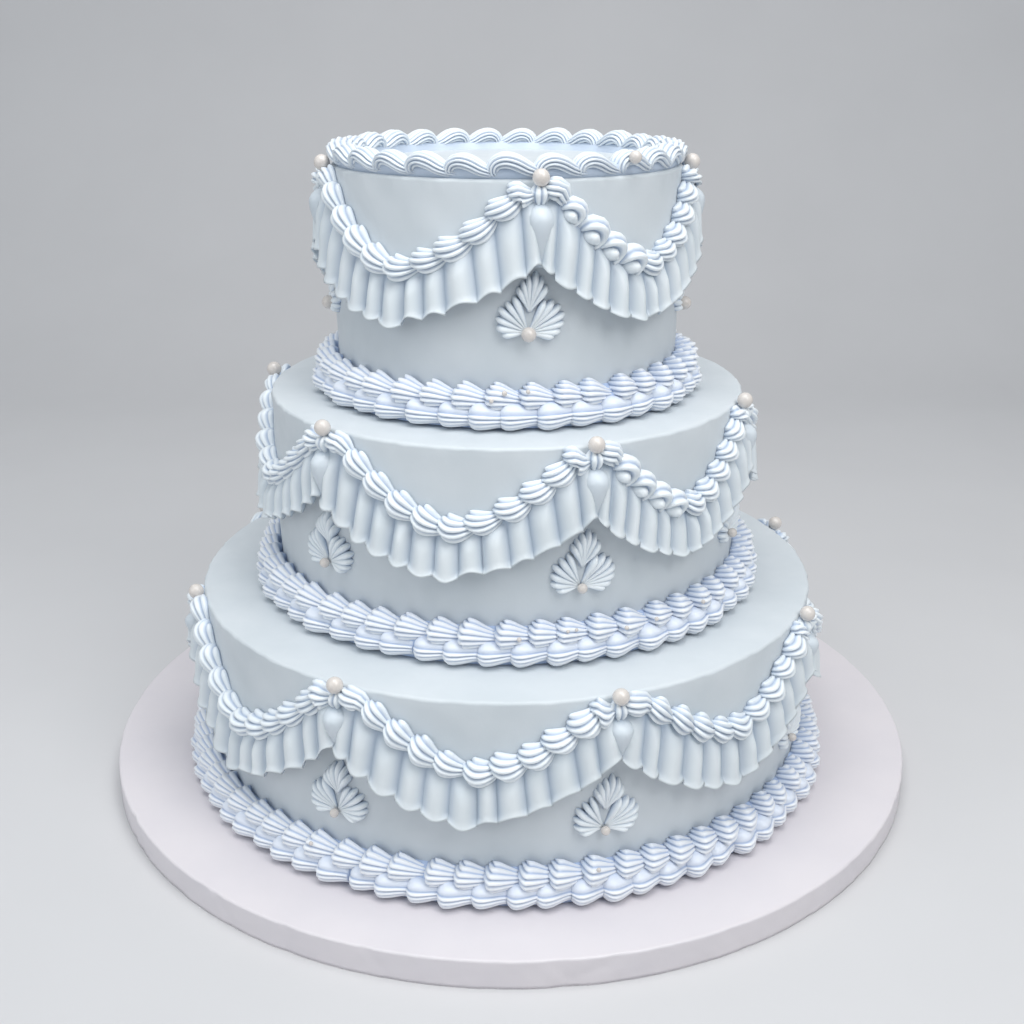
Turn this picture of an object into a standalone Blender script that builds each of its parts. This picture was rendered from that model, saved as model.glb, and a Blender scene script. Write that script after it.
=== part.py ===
"""A round cake of three tiers on its board, iced smooth and piped with shells, swags and frills.

Metres, +Z up. The origin is the middle of the board's underside, and the front faces -Y. An azimuth
is measured from the front towards +X. Piping on a wall is laid out on the unrolled wall, as a place
along it, a height above the tier's base and a depth out from it, and is then wrapped round the tier.
"""

import math
from collections import namedtuple

import bpy
import numpy as np
from mathutils import Vector

GAP = 0.0003  # between pieces that touch

BOARD_RADIUS = 0.215
BOARD_THICKNESS = 0.014
BOARD_EDGE = 0.0012
BOARD_SIDES = 48
CAKE_SHIFT = (-0.0025, -0.016)  # the cake stands a little forward on its board

TIER_SIDES = 40
TIER_EDGE = 0.0018  # the bevel where the wall meets the top

# A tier's swags hang from its peaks. The azimuths of the peaks that face the front are given, and
# the others are spread evenly round the back. swag_lows has one value for each swag from the first
# peak on: the garland's lowest point under the rim. The bottom tier's first swag hangs lower.
Tier = namedtuple("Tier", "name radius height border_shells front_peaks swag_lows")
TIERS = (
    Tier("bottom", 0.157, 0.097, 72, (-73.5, -26.8, 17.6, 64.0), (0.039,) + (0.031,) * 7),
    Tier("middle", 0.117, 0.098, 53, (-97.2, -41.6, 18.5, 68.8), (0.035,) * 6),
    Tier("top", 0.0835, 0.106, 38, (-77.0, 9.6, 83.0), (0.038,) * 5),
)

# The border of two rows of shells round a tier's base, as depths and heights of its profile.
BORDER_HEIGHT = 0.0205
LOWER_ROW = (0.0145, 0.0052)  # depth and height of the lower row's crest
ROW_CREASE = (0.0080, 0.0108)
UPPER_ROW = (0.0088, 0.0160)
BORDER_FOOT = 0.0125
# Where a border shell is fat and where it is thin, as shares of its pitch, each with its size.
BORDER_SWELL = ((0.25, 1.0), (0.92, 0.78))
BORDER_TOP_SWELL = 0.6  # the share of the border's height that swells with its shells

# The garland, a rope of shells, follows each swag from peak to peak.
PEAK_DROP = 0.0046  # its middle is this far under the rim at a peak
SWAG_RISE = 0.005
SWAG_POWER = 1.6
GARLAND_SHELLS = 10  # in one swag
GARLAND_SWELL = ((0.3, 1.0), (1.0, 0.74))  # as for the border
GARLAND_HALF = 0.0056  # half of its width up the wall
GARLAND_DEPTH = 0.0088
GARLAND_CROWN = 0.55  # the flat of its front, as a share of its width
GARLAND_END = 0.5  # its size at a peak, as a share of the full size
GARLAND_FULL = 0.55  # it keeps its full size over this share of the swag

# The frill hangs from the garland in pleats.
FRILL_PLEATS = 10  # in one swag
FRILL_LENGTH = 0.024  # from the garland's middle to the hem
FRILL_THICKNESS = 0.0013
FRILL_CREST = 0.0098  # the hem's depth at a pleat and between pleats
FRILL_CREASE = 0.0060
FRILL_TOP_DEPTH = 0.0036
FRILL_TOP_GAP = 0.0009  # between the garland's lower edge and the frill
FRILL_SCALLOP = 0.0012  # how much lower a pleat hangs than the crease beside it

PEARL_RADIUS = 0.0040
PEARL_LIFT = 0.0020  # its middle above the rim

# An ornament under each peak: an upright plume and two side petals that meet at a small pearl. Its
# outline is read round its heart, the place where they meet.
ORNAMENT_DROP = 0.0555  # its heart, under the rim
ORNAMENT_SIDES = 16
ORNAMENT_HALF_DEPTH = 0.0036
ORNAMENT_HOLLOW = 0.0075  # the heart's own radius, which shows between the lobes
# Each lobe: its direction from upright in degrees, its reach from the heart, its spread in degrees.
LOBES = ((0.0, 0.0195, 27.0), (-90.0, 0.0160, 38.0), (90.0, 0.0160, 38.0), (180.0, 0.0112, 24.0))

# The rope of scrolls that lies on the top, along its rim.
ROPE_SCROLLS = 27
ROPE_RADIUS = 0.0785
ROPE_HALF_WIDTH = 0.0078
ROPE_HEIGHT = 0.0112
ROPE_SWAY = 0.0013  # how far the scrolls swing in and out
ROPE_THIN = 0.74
ROPE_SHOULDER = (0.72, 0.8)  # its shoulder, as shares of its half width and its height

CURVE_SAMPLES = 401  # points at which a swag's curve is measured
CURVE_STEP = 0.01

ICING_WALL = ("smooth icing", (0.70, 0.74, 0.78), 0.45)
ICING_PIPED = ("piped icing", (0.82, 0.87, 0.94), 0.35)
ICING_FRILL = ("frill icing", (0.76, 0.81, 0.84), 0.40)
PEARL_SUGAR = ("pearl sugar", (0.86, 0.76, 0.68), 0.22)
BOARD_FOIL = ("board foil", (0.86, 0.83, 0.88), 0.40)


def clear_scene():
    for obj in list(bpy.data.objects):
        bpy.data.objects.remove(obj, do_unlink=True)


def material(look):
    """The Principled material of a look, made once."""
    name, colour, roughness = look
    found = bpy.data.materials.get(name)
    if found:
        return found
    made = bpy.data.materials.new(name)
    made.use_nodes = True
    shader = made.node_tree.nodes["Principled BSDF"]
    shader.inputs["Base Color"].default_value = (*colour, 1.0)
    shader.inputs["Roughness"].default_value = roughness
    shader.inputs["Metallic"].default_value = 0.0
    return made


def place(obj, name, look, parent, collection):
    """Names an object, gives it its look and its parent, and moves it to the collection."""
    obj.name = name
    obj.data.name = name
    obj.data.materials.clear()
    obj.data.materials.append(material(look))
    for home in list(obj.users_collection):
        home.objects.unlink(obj)
    collection.objects.link(obj)
    obj.parent = parent
    return obj


def empty(name, height, parent, collection, shift=(0.0, 0.0)):
    obj = bpy.data.objects.new(name, None)
    obj.location = (*shift, height)
    obj.parent = parent
    collection.objects.link(obj)
    return obj


def wrapped(radius, along, height, depth):
    """The point of the unrolled wall (along, height, depth) once the wall is wrapped round a tier."""
    azimuth = along / radius
    out = radius + depth
    return Vector((out * math.sin(azimuth), -out * math.cos(azimuth), height))


def turned(name, profile, sides):
    """A solid of revolution, from a profile at +X that runs from the top centre to the bottom one."""
    mesh = bpy.data.meshes.new(name)
    points = [(radius, 0.0, height) for radius, height in profile]
    mesh.from_pydata(points, [(i, i + 1) for i in range(len(points) - 1)], [])
    obj = bpy.data.objects.new(name, mesh)
    bpy.context.scene.collection.objects.link(obj)
    screw = obj.modifiers.new("turn", "SCREW")
    screw.angle = math.tau
    screw.steps = sides
    screw.render_steps = sides
    screw.use_merge_vertices = True
    screw.merge_threshold = 0.00001
    return obj


def ring(name, sections):
    """A closed ring: a torus whose stations take these sections.

    A section lists its corners from the outer side over the top to the wall and back underneath,
    and the stations follow each other from the front towards +X.
    """
    corners = len(sections[0])
    bpy.ops.mesh.primitive_torus_add(major_segments=len(sections), minor_segments=corners)
    obj = bpy.context.active_object
    obj.name = name
    for index, vertex in enumerate(obj.data.vertices):
        station, corner = divmod(index, corners)
        vertex.co = sections[station][corner]
    return obj


def swag_peaks(tier):
    """Azimuths, in degrees, of the points that the swags hang from."""
    first, last = tier.front_peaks[0], tier.front_peaks[-1]
    hidden = len(tier.swag_lows) - len(tier.front_peaks)
    step = (first + 360.0 - last) / (hidden + 1)
    return list(tier.front_peaks) + [last + step * (i + 1) for i in range(hidden)]


def swag_spans(tier):
    """Each swag's two ends, as places along the unrolled wall, and its low."""
    places = [math.radians(azimuth) * tier.radius for azimuth in swag_peaks(tier)]
    places.append(places[0] + math.tau * tier.radius)
    return list(zip(places[:-1], places[1:], tier.swag_lows))


def swag_drop(low, t):
    """The garland's middle under the rim, where t runs from -1 at one peak to 1 at the next."""
    return max(PEAK_DROP, low - (low + SWAG_RISE) * abs(t) ** SWAG_POWER)


def swag_slope(low, half_span, t):
    """The garland's rise along the wall at t."""
    rise = swag_drop(low, t - CURVE_STEP) - swag_drop(low, t + CURVE_STEP)
    return rise / (2 * CURVE_STEP * half_span)


def even_places(low, half_span, shares):
    """The values of t at these shares of the garland's length."""
    t = np.linspace(-1.0, 1.0, CURVE_SAMPLES)
    height = np.array([-swag_drop(low, value) for value in t])
    pieces = np.hypot(np.diff(t) * half_span, np.diff(height))
    length = np.concatenate(([0.0], np.cumsum(pieces)))
    return np.interp(np.array(shares) * length[-1], length, t)


def end_size(t):
    """The garland's size at t, which shrinks towards the peaks."""
    near_end = max(0.0, (abs(t) - GARLAND_FULL) / (1.0 - GARLAND_FULL))
    return 1.0 - (1.0 - GARLAND_END) * near_end**1.5


def make_board(collection):
    r, top, edge = BOARD_RADIUS, BOARD_THICKNESS, BOARD_EDGE
    profile = [(0, top), (r - edge, top), (r, top - edge), (r, 0), (0, 0)]
    return place(turned("board", profile, BOARD_SIDES), "board", BOARD_FOIL, None, collection)


def make_tier(tier, parent, collection):
    r, top, edge = tier.radius, tier.height, TIER_EDGE
    profile = [(0, top), (r - edge, top), (r, top - edge), (r, 0), (0, 0)]
    name = "tier_" + tier.name
    return place(turned(name, profile, TIER_SIDES), name, ICING_WALL, parent, collection)


def make_border(tier, parent, collection):
    """Two rows of shells in one ring. Each shell has a fat end and a thin end."""
    pitch = math.tau * tier.radius / tier.border_shells
    sections = []
    for shell in range(tier.border_shells):
        for share, size in BORDER_SWELL:
            along = (shell + share) * pitch
            profile = (
                (LOWER_ROW[0] * size, LOWER_ROW[1]),
                (ROW_CREASE[0] * size, ROW_CREASE[1]),
                (UPPER_ROW[0] * size, UPPER_ROW[1]),
                (GAP, BORDER_HEIGHT * (1.0 - BORDER_TOP_SWELL * (1.0 - size))),
                (GAP, GAP),
                (BORDER_FOOT * size, GAP),
            )
            sections.append([wrapped(tier.radius, along, z, d) for d, z in profile])
    name = "border_" + tier.name
    return place(ring(name, sections), name, ICING_PIPED, parent, collection)


def make_garland(tier, parent, collection):
    """The rope of shells, one ring that dips in every swag."""
    shells = range(GARLAND_SHELLS)
    shares = [(shell + share) / GARLAND_SHELLS for shell in shells for share, _ in GARLAND_SWELL]
    sizes = [size for _ in shells for _, size in GARLAND_SWELL]
    sections = []
    for start, end, low in swag_spans(tier):
        middle, half = (start + end) / 2, (end - start) / 2
        for t, size in zip(even_places(low, half, shares), sizes):
            slope = math.atan(swag_slope(low, half, t))
            level = tier.height - swag_drop(low, t)
            width = GARLAND_HALF * size * end_size(t)
            depth = GARLAND_DEPTH * size * end_size(t)
            crown = GARLAND_CROWN
            corners = ((-crown, depth), (crown, depth), (1.0, GAP), (-1.0, GAP))
            sections.append(
                [
                    wrapped(
                        tier.radius,
                        middle + t * half - across * width * math.sin(slope),
                        level + across * width * math.cos(slope),
                        out,
                    )
                    for across, out in corners
                ]
            )
    name = "garland_" + tier.name
    return place(ring(name, sections), name, ICING_PIPED, parent, collection)


def make_frill(tier, parent, collection):
    """The pleated frill, one thin ring that hangs clear under the garland."""
    sections = []
    for start, end, low in swag_spans(tier):
        middle, half = (start + end) / 2, (end - start) / 2
        for station in range(2 * FRILL_PLEATS):
            crest = station % 2 == 1
            t = station / FRILL_PLEATS - 1.0
            slope = math.atan(swag_slope(low, half, t))
            level = tier.height - swag_drop(low, t)
            top = level - (GARLAND_HALF * end_size(t) + FRILL_TOP_GAP) / math.cos(slope)
            hem = level - FRILL_LENGTH - (FRILL_SCALLOP if crest else 0.0)
            out = FRILL_CREST if crest else FRILL_CREASE
            corners = (
                (out, hem),
                (FRILL_TOP_DEPTH, top),
                (GAP, top),
                (out - FRILL_THICKNESS, hem),
            )
            along = middle + t * half
            sections.append([wrapped(tier.radius, along, z, d) for d, z in corners])
    name = "frill_" + tier.name
    return place(ring(name, sections), name, ICING_FRILL, parent, collection)


def make_pearls(tier, parent, collection):
    """One pearl on the rim at each peak."""
    for number, azimuth in enumerate(swag_peaks(tier), start=1):
        along = math.radians(azimuth) * tier.radius
        height = tier.height + PEARL_LIFT
        bpy.ops.mesh.primitive_uv_sphere_add(segments=6, ring_count=4, radius=PEARL_RADIUS)
        obj = bpy.context.active_object
        obj.location = wrapped(tier.radius, along, height, PEARL_RADIUS + GAP)
        obj.rotation_euler = (0.0, 0.0, math.radians(azimuth))
        obj.data.shade_smooth()
        place(obj, f"pearl_{tier.name}_{number}", PEARL_SUGAR, parent, collection)


def ornament_reach(turn):
    """The outline's distance from the heart at this turn from upright, in degrees."""
    reach = ORNAMENT_HOLLOW
    for direction, length, spread in LOBES:
        away = abs((turn - direction + 180.0) % 360.0 - 180.0)
        lobe = (length - ORNAMENT_HOLLOW) * math.exp(-((away / spread) ** 4))
        reach = max(reach, ORNAMENT_HOLLOW + lobe)
    return reach


def make_ornaments(tier, parent, collection):
    """The ornament under each peak: a ball whose rim takes the lobed outline, laid on the wall."""
    for number, azimuth in enumerate(swag_peaks(tier), start=1):
        name = f"ornament_{tier.name}_{number}"
        bpy.ops.mesh.primitive_uv_sphere_add(segments=ORNAMENT_SIDES, ring_count=4, radius=1.0)
        obj = bpy.context.active_object
        for vertex in obj.data.vertices:
            x, y, out = vertex.co
            reach = ornament_reach(math.degrees(math.atan2(x, y)))
            height = tier.height - ORNAMENT_DROP + y * reach
            depth = 2 * GAP + ORNAMENT_HALF_DEPTH * (1.0 + out)
            vertex.co = wrapped(tier.radius, x * reach, height, depth)
        obj.rotation_euler = (0.0, 0.0, math.radians(azimuth))
        place(obj, name, ICING_PIPED, parent, collection)


def make_rope(tier, parent, collection):
    """The rope of scrolls on the top, which swings in and out and swells in each scroll."""
    sections = []
    for station in range(2 * ROPE_SCROLLS):
        fat = station % 2 == 0
        size = 1.0 if fat else ROPE_THIN
        azimuth = station * math.pi / ROPE_SCROLLS
        centre = ROPE_RADIUS + (ROPE_SWAY if fat else -ROPE_SWAY)
        half = ROPE_HALF_WIDTH * size - ROPE_SWAY
        crown = ROPE_HEIGHT * size
        side, up = ROPE_SHOULDER[0] * half, ROPE_SHOULDER[1] * crown
        profile = ((half, GAP), (side, up), (0, crown), (-side, up), (-half, GAP))
        sections.append([wrapped(centre, azimuth * centre, tier.height + z, d) for d, z in profile])
    return place(ring("rope_top", sections), "rope_top", ICING_PIPED, parent, collection)


def main():
    clear_scene()
    cake = bpy.data.collections.new("tiered cake")
    bpy.context.scene.collection.children.link(cake)
    make_board(cake)
    stack = empty("stack", BOARD_THICKNESS + GAP, None, cake, CAKE_SHIFT)
    base = 0.0
    for tier in TIERS:
        parent = empty("base_" + tier.name, base, stack, cake)
        make_tier(tier, parent, cake)
        make_border(tier, parent, cake)
        make_garland(tier, parent, cake)
        make_frill(tier, parent, cake)
        make_pearls(tier, parent, cake)
        make_ornaments(tier, parent, cake)
        base += tier.height + GAP
    make_rope(TIERS[-1], parent, cake)


main()
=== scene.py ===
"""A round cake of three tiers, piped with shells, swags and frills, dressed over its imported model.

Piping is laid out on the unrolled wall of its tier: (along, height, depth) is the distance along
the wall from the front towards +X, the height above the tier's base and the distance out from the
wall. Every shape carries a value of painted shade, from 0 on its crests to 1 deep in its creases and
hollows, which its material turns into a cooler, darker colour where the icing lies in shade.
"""

import math
from collections import namedtuple

import bpy
import numpy as np
from mathutils import Matrix, Vector
from mathutils.bvhtree import BVHTree


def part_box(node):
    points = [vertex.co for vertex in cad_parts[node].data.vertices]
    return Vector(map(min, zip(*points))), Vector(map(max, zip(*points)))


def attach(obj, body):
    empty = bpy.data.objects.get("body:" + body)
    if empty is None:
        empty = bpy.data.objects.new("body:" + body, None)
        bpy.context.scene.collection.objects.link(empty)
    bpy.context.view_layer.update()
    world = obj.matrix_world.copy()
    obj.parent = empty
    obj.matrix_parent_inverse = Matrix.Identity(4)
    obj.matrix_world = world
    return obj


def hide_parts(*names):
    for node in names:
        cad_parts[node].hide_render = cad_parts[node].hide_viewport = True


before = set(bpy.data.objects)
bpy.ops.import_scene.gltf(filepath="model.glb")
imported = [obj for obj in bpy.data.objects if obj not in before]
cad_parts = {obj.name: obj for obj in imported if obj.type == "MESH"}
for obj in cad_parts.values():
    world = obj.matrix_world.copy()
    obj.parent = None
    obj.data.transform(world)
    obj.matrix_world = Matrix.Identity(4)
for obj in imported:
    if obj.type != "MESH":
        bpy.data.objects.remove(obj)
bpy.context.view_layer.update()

rng = np.random.default_rng(11)

# The camera, fitted to the tiers' rims and borders in the photograph.
CAMERA_PLACE = (0.0003, -0.6411, 0.3708)
CAMERA_PITCH = math.radians(69.56)  # from straight down
CAMERA_ROLL = 0.002
CAMERA_LENS = 44.68
CAMERA_SENSOR = 36.0
CAMERA_CLIP = 0.01

# The lights, with each one's place, side, power in watts and colour. All of them aim at the cake.
LIGHT_AIM = (0.0, 0.0, 0.16)
LIGHTS = {
    "key": ((0.62, -0.80, 1.05), 0.6, 5.3, (1.0, 0.99, 0.98)),
    "fill": ((-1.1, -0.8, 0.7), 1.0, 3.4, (0.90, 0.95, 1.0)),
    "overhead": ((0.0, -0.28, 1.25), 0.9, 9.4, (1.0, 1.0, 1.0)),
}
STUDIO_COLOUR = (0.90, 0.95, 1.0, 1.0)
STUDIO_STRENGTH = 0.47

# The floor runs from its front to its back, bends up over a quarter circle and ends as a backdrop.
FLOOR_FRONT = -1.6
FLOOR_BACK = 0.7
FLOOR_BEND = 0.5
FLOOR_HALF_WIDTH = 2.5
FLOOR_GAP = 0.0001  # under the board
BACKDROP_TOP = 2.4
BEND_STEPS = 13

# A tier's swags hang from its peaks, whose azimuths are given in front and even round the back.
# Each swag's low is the garland's lowest place under the rim, where the frill's hem is hem_gap
# lower. At a peak the hem is hem_peak under the rim.
TierPlan = namedtuple("TierPlan", "front_peaks swag_lows hem_gap hem_peak pleats border_shells")
BOTTOM_LOWS = (0.039,) + (0.031,) * 7
MIDDLE_LOWS = (0.035,) * 6
TOP_LOWS = (0.038,) * 5
PLANS = {
    "bottom": TierPlan((-73.5, -26.8, 17.6, 64.0), BOTTOM_LOWS, 0.0245, 0.0255, 12, 72),
    "middle": TierPlan((-97.2, -41.6, 18.5, 68.8), MIDDLE_LOWS, 0.0220, 0.0295, 13, 53),
    "top": TierPlan((-77.0, 9.6, 83.0), TOP_LOWS, 0.0240, 0.0335, 13, 38),
}
PEAK_DROP = 0.0046  # the garland's middle is at least this far under the rim
SWAG_RISE = 0.005  # how far its curve alone would rise over the rim at a peak
SWAG_POWER = 1.6
CURVE_SAMPLES = 161

# A wall is a little uneven: slow waves all over it and fine ripples along its rim, each with its
# count round the tier. They lean, because their phases turn with height: a lean is in radians a
# metre, and each wave takes it a whole number of times.
WALL_SIDES = 256
WALL_ROWS = 24
WALL_INSET = 0.0001  # how far inside the solid's wall the icing's own lies
WALL_ROUND = 0.0016  # the fillet where a wall meets its top
WALL_WAVE = 0.000088
WALL_WAVES = (3, 5, 7, 11, 16, 23)
WALL_LEAN = 90.0
WAVES_FROM = 0.75  # the share of the radius where they start, on the top
RIM_RIPPLE = 0.00015
RIM_RIPPLES = (37, 61, 89, 127)
RIM_LEAN = 500.0
RIM_REACH = 0.004  # how far the ripples reach up and down from the fillet's lower end
RIM_WIDTH = 1.5  # and how far in over the top, in fillets
# The rings of a flat top and of an underside, as shares of the radius, and the rings of a fillet.
TOP_RINGS = (0.02, 0.2, 0.4, 0.6, 0.75, 0.88, 0.95)
UNDER_RINGS = (0.9, 0.5, 0.02)
FILLET_RINGS = 7

# The board's foil has small wrinkles and sharp folds round its side.
BOARD_SIDES = 512
BOARD_ROWS = 8
BOARD_ROUND = 0.0012
FOIL_INSET = 0.0001
FOIL_EDGE = 0.002  # how far in from its side the foil is wrinkled
WRINKLE = 0.00004
WRINKLES = (31, 47, 74, 101, 139)
WRINKLE_LEAN = 400.0
FOLD = 0.00035
FOLDS = (7, 11, 17)
FOLD_LEAN = 60.0
FOLD_POWER = 60  # how sharp a fold is

# A piped shell: half its width across, its depth, its ridges and how deep they are cut, the share
# of its length that is head, the size of its tail, how far it leans from the upper side at its head
# to the lower side at its tail, and its bow. Its head is open where its ridges end side by side:
# open is its width there, nose how far its outer ridges lag behind and notch how far its creases
# do. Its section turns between two angles from straight out of the wall, round a middle that stands
# out from the wall, and ridges cover the lower share of it that ridged names. A shell that settles
# keeps its underside down where it grows thin.
ShellForm = namedtuple(
    "ShellForm",
    "half depth ridges cut head tail lean bow open nose notch low high out ridged settle",
    defaults=(0.0, 0.0, 0.0, 0.0, 0.0, -90.0, 90.0, 0.0, 1.0, 0.0),
)
GARLAND_FORM = ShellForm(0.0067, 0.0096, 6, 0.27, 0.32, 0.32, 0.0012, 0.0022, 0.48, 0.36, 0.05)
STUB_FORM = ShellForm(0.0046, 0.0080, 4, 0.28, 0.35, 0.45)
UPPER_FORM = ShellForm(
    0.0070, 0.0126, 8, 0.20, 0.16, 0.40,
    open=0.84, nose=0.30, notch=0.07, low=-105.0, high=96.0, out=0.0030, settle=0.7,
)
LOWER_FORM = ShellForm(
    0.0060, 0.0147, 5, 0.25, 0.32, 0.70,
    low=-92.0, high=115.0, out=0.0072, ridged=0.56, settle=0.3,
)
TEAR_FORM = ShellForm(0.0064, 0.0112, 0, 0.0, 0.28, 0.60)
CURL_FORM = ShellForm(0.0052, 0.0108, 3, 0.26, 0.42, 0.50)
NUB_FORM = ShellForm(0.0036, 0.0098, 0, 0.0, 0.42, 0.55)

# A shell's mesh, and the details that all shells share.
RIDGE_COLUMNS = 4  # mesh columns for each ridge
SMOOTH_COLUMNS = 9  # mesh columns where there are no ridges
HEAD_ROWS = 7
TAIL_ROWS = 8
FIRST_ROW = 0.03  # the first row, as a share of the head's quarter circle
LAST_ROW = 0.995  # the last row, as a share of the shell's length
SHELL_SUNK = 0.0003  # how far a shell is pressed into what carries it
NOSE_ROUND = 0.9  # how nearly an open head's nose is a half circle
LAG_POWER = 3  # how soon the lag is made up along the shell
DOME_RISE = 0.16  # how soon the smooth share of a section reaches its full height
DOME_POWER = 0.6
CREASE_POWER = 2.2  # how narrow the painted shade in a crease is
# Painted shade on a shell: at its foot against the wall, on a smooth dome that lies under the row above,
# and at its ends.
FOOT_SHADE = 0.35
DOME_SHADE = 0.28
END_SHADE = 0.5
HEAD_SHADED = 0.08  # the shares of a shell's length that carry painted shade at its ends
TAIL_SHADED = 0.25

# The garland. Its shells differ a little in place, size and tilt. They start out small at a peak,
# and bow more the further they are along the swag.
GARLAND_SHELLS = 11  # in one swag
GARLAND_OVERLAP = 1.62  # a shell's length over its pitch
GARLAND_JITTER = 0.07  # a share of the pitch
GARLAND_SIZES = (0.92, 1.08)
GARLAND_TILT = 0.0007
PEAK_SIZE = 0.82
PEAK_SHELLS = 2.0  # how many shells it takes to reach the full size
BOW_MIDDLE = 0.7  # shares of the form's bow: in a swag's middle, and its change to each end
BOW_CHANGE = 1.1
BOW_RANGE = (0.1, 1.1)
STUB_SPAN = (0.0015, 0.0130)  # under the rim

# A curled shell turns round a smooth nub: the radius of its arc, how far the arc's middle lies
# under the garland's and how far the nub reaches to both sides of it. These shells are curled in
# the swag from the peak right of the middle of two tiers.
CURL_ARC = 0.0050
CURL_SUNK = 0.0034
CURL_PLACE = 0.6  # a share of the pitch
CURL_TURN = (1.10, -0.20)  # in half turns
CURL_POINTS = 17
NUB_REACH = (-0.0040, 0.0052)
CURLED_SWAG = {"bottom": None, "middle": 2, "top": 1}
CURLED_SHELLS = (1, 2, 3, 4)

# The border's rows of shells, from the top: each one's name, the height of its line above the
# tier's base, its shells' form and their length over their pitch.
BORDER_ROWS = (
    ("upper", 0.0142, UPPER_FORM, 1.45),
    ("lower", 0.0060, LOWER_FORM, 1.20),
)
BORDER_JITTER = 0.10  # a share of the pitch
BORDER_SIZES = (0.93, 1.05)
BORDER_TILT = 0.0006
SPARE_PITCHES = 3  # by which a row's line is longer than the way round
# The icing behind a border's shells: its distance out from the wall and its height.
BORDER_BED = (
    (-0.0020, 0.0160),
    (0.0001, 0.0160),
    (0.0028, 0.0146),
    (0.0068, 0.0108),
    (0.0078, 0.0060),
    (0.0068, 0.0006),
    (-0.0020, 0.0006),
)
# Painted shade over all the icing behind a border's shells.
BORDER_BED_SHADE = 1.0

# The frill. A pleat grows from its top over its shoulder, and its hem flares. The hem rises to the
# peaks in steps: within a pleat it follows that rise to a share only. The height by which the middle
# of a pleat's hem lies over its ends comes after the share, and is below zero where it lies under.
FRILL_TOP = 0.003  # under the garland's middle
FRILL_THICKNESS = 0.0009
FRILL_GAP = 0.0002  # between the frill's back and the wall
HEM_POWER = 1.5
HEM_JITTER = 0.0006
HEM_FALLING = (0.55, -0.0014)  # left of a swag's middle
HEM_RISING = (0.80, 0.0026)  # right of it
PLEAT_LEAN = 0.0065  # how far a pleat's foot leans towards the nearer peak
PLEAT_JITTER = 0.16  # a share of a pleat's width
PLEAT_POWER = 1.1
PLEAT_SIZES = (0.8, 1.2)
PLEAT_DEPTH = (0.0044, 0.0006)  # at its top, and how much less at its hem
BELLY = (0.0022, 0.0038)  # the creases' distance from the wall at the top, and its growth
BELLY_POWER = 0.6
SHOULDER = (0.10, 0.35)  # where it starts and how long it is, as shares of the pleat
# Painted shade at a pleat's top, where it comes out from under the garland, fading over the shoulder.
SHOULDER_SHADE = 0.5
FLARE_FROM = 0.84
FLARE = (0.0008, 0.0014)  # on a crest, and how much more in a crease
# Painted shade in a pleat's creases, how narrow it is there, and on the frill's back towards the wall.
PLEAT_SHADE = 0.9
PLEAT_CREASE_POWER = 1.6
FRILL_BACK_SHADE = 0.6
PLEAT_COLUMNS = 11
# The rows of a pleat: its share from the top down.
PLEAT_ROWS = np.concatenate((np.linspace(0.0, 0.82, 9), np.linspace(0.82, 1.0, 6)[1:]))
TEAR_TOP = 0.009  # under the rim
TEAR_OVER = 0.002  # how far its tip hangs under the hem's point
# Painted shade laid over a whole teardrop, to dim its top, which faces the light.
TEAR_SHADE = 0.3

# The rope on the top. A scroll's middle line over its pitch is given in millimetres: along the
# rope, up, and the line's radius.
ROPE_RADIUS = 0.0785
ROPE_SCROLLS = 27
ROPE_JITTER = 0.06  # a share of the pitch
ROPE_SIZES = (0.95, 1.04)
ROPE_GAP = 0.0002  # between the scrolls and the top
SCROLL_LINE = (
    (-3.2, 0.4, 2.2),
    (-5.0, 2.8, 3.0),
    (-3.8, 6.0, 3.4),
    (0.2, 7.4, 3.8),
    (4.8, 6.2, 3.8),
    (9.2, 3.6, 3.4),
    (13.6, 2.2, 2.5),
    (17.5, 1.6, 1.6),
)
SCROLL_ROWS = 28
SCROLL_ROUNDS = 3  # of smoothing its line
SCROLL_RIDGES = 12
SCROLL_CUT = 0.30
SCROLL_WIDE = 1.8  # its width across the rope, over its height
SCROLL_HEAD = 0.12  # the share of it that its round head takes
HEAD_ROUND = 0.98  # how nearly its first ring closes
# Painted shade in a scroll's creases, and more of it low down where it meets the top.
SCROLL_CREASE_POWER = 1.2
SCROLL_SHADE = 0.5
SCROLL_SHADED = 0.0035  # the height under which a scroll carries painted shade
ROPE_BED = (
    (-0.0062, -0.0006),
    (-0.0056, 0.0030),
    (0.0, 0.0060),
    (0.0032, 0.0040),
    (0.0030, -0.0006),
)
# Painted shade over all the icing under the rope.
ROPE_BED_SHADE = 0.7

# The pearls on the peaks, and then the loose ones that rest on a border's shells or on the rope:
# each one's azimuth in degrees, its height above the tier's base or top and its radius.
PEARL_RADIUS = 0.0037
PEARL_LIFT = 0.0012  # of its middle over the rim
PEARL_GAP = 0.0003  # between a pearl and the wall
PEARL_MESH = (32, 20)  # segments and rings
SMALL_MESH = (20, 12)
POLE_GAP = 0.02  # the angle that a ball leaves open for its cap
STRAY_PEARLS = {
    "bottom": ((-30.8, 0.0210, 0.0010), (14.6, 0.0215, 0.0010)),
    "middle": (
        (3.6, 0.0153, 0.0011),
        (12.5, 0.0172, 0.0008),
        (15.0, 0.0170, 0.0008),
        (24.5, 0.0156, 0.0010),
        (31.1, 0.0163, 0.0010),
        (44.7, 0.0168, 0.0010),
    ),
    "top": ((1.8, 0.0225, 0.0012), (5.9, 0.0195, 0.0010), (-3.7, 0.0142, 0.0010)),
}
ROPE_PEARL = (39.5, 0.0080, 0.0028)
PEARL_OUT = 0.45  # how much of its radius a loose pearl's middle stands off what carries it
REST_FROM = 0.012  # the distance out from the wall it is set down from

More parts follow.
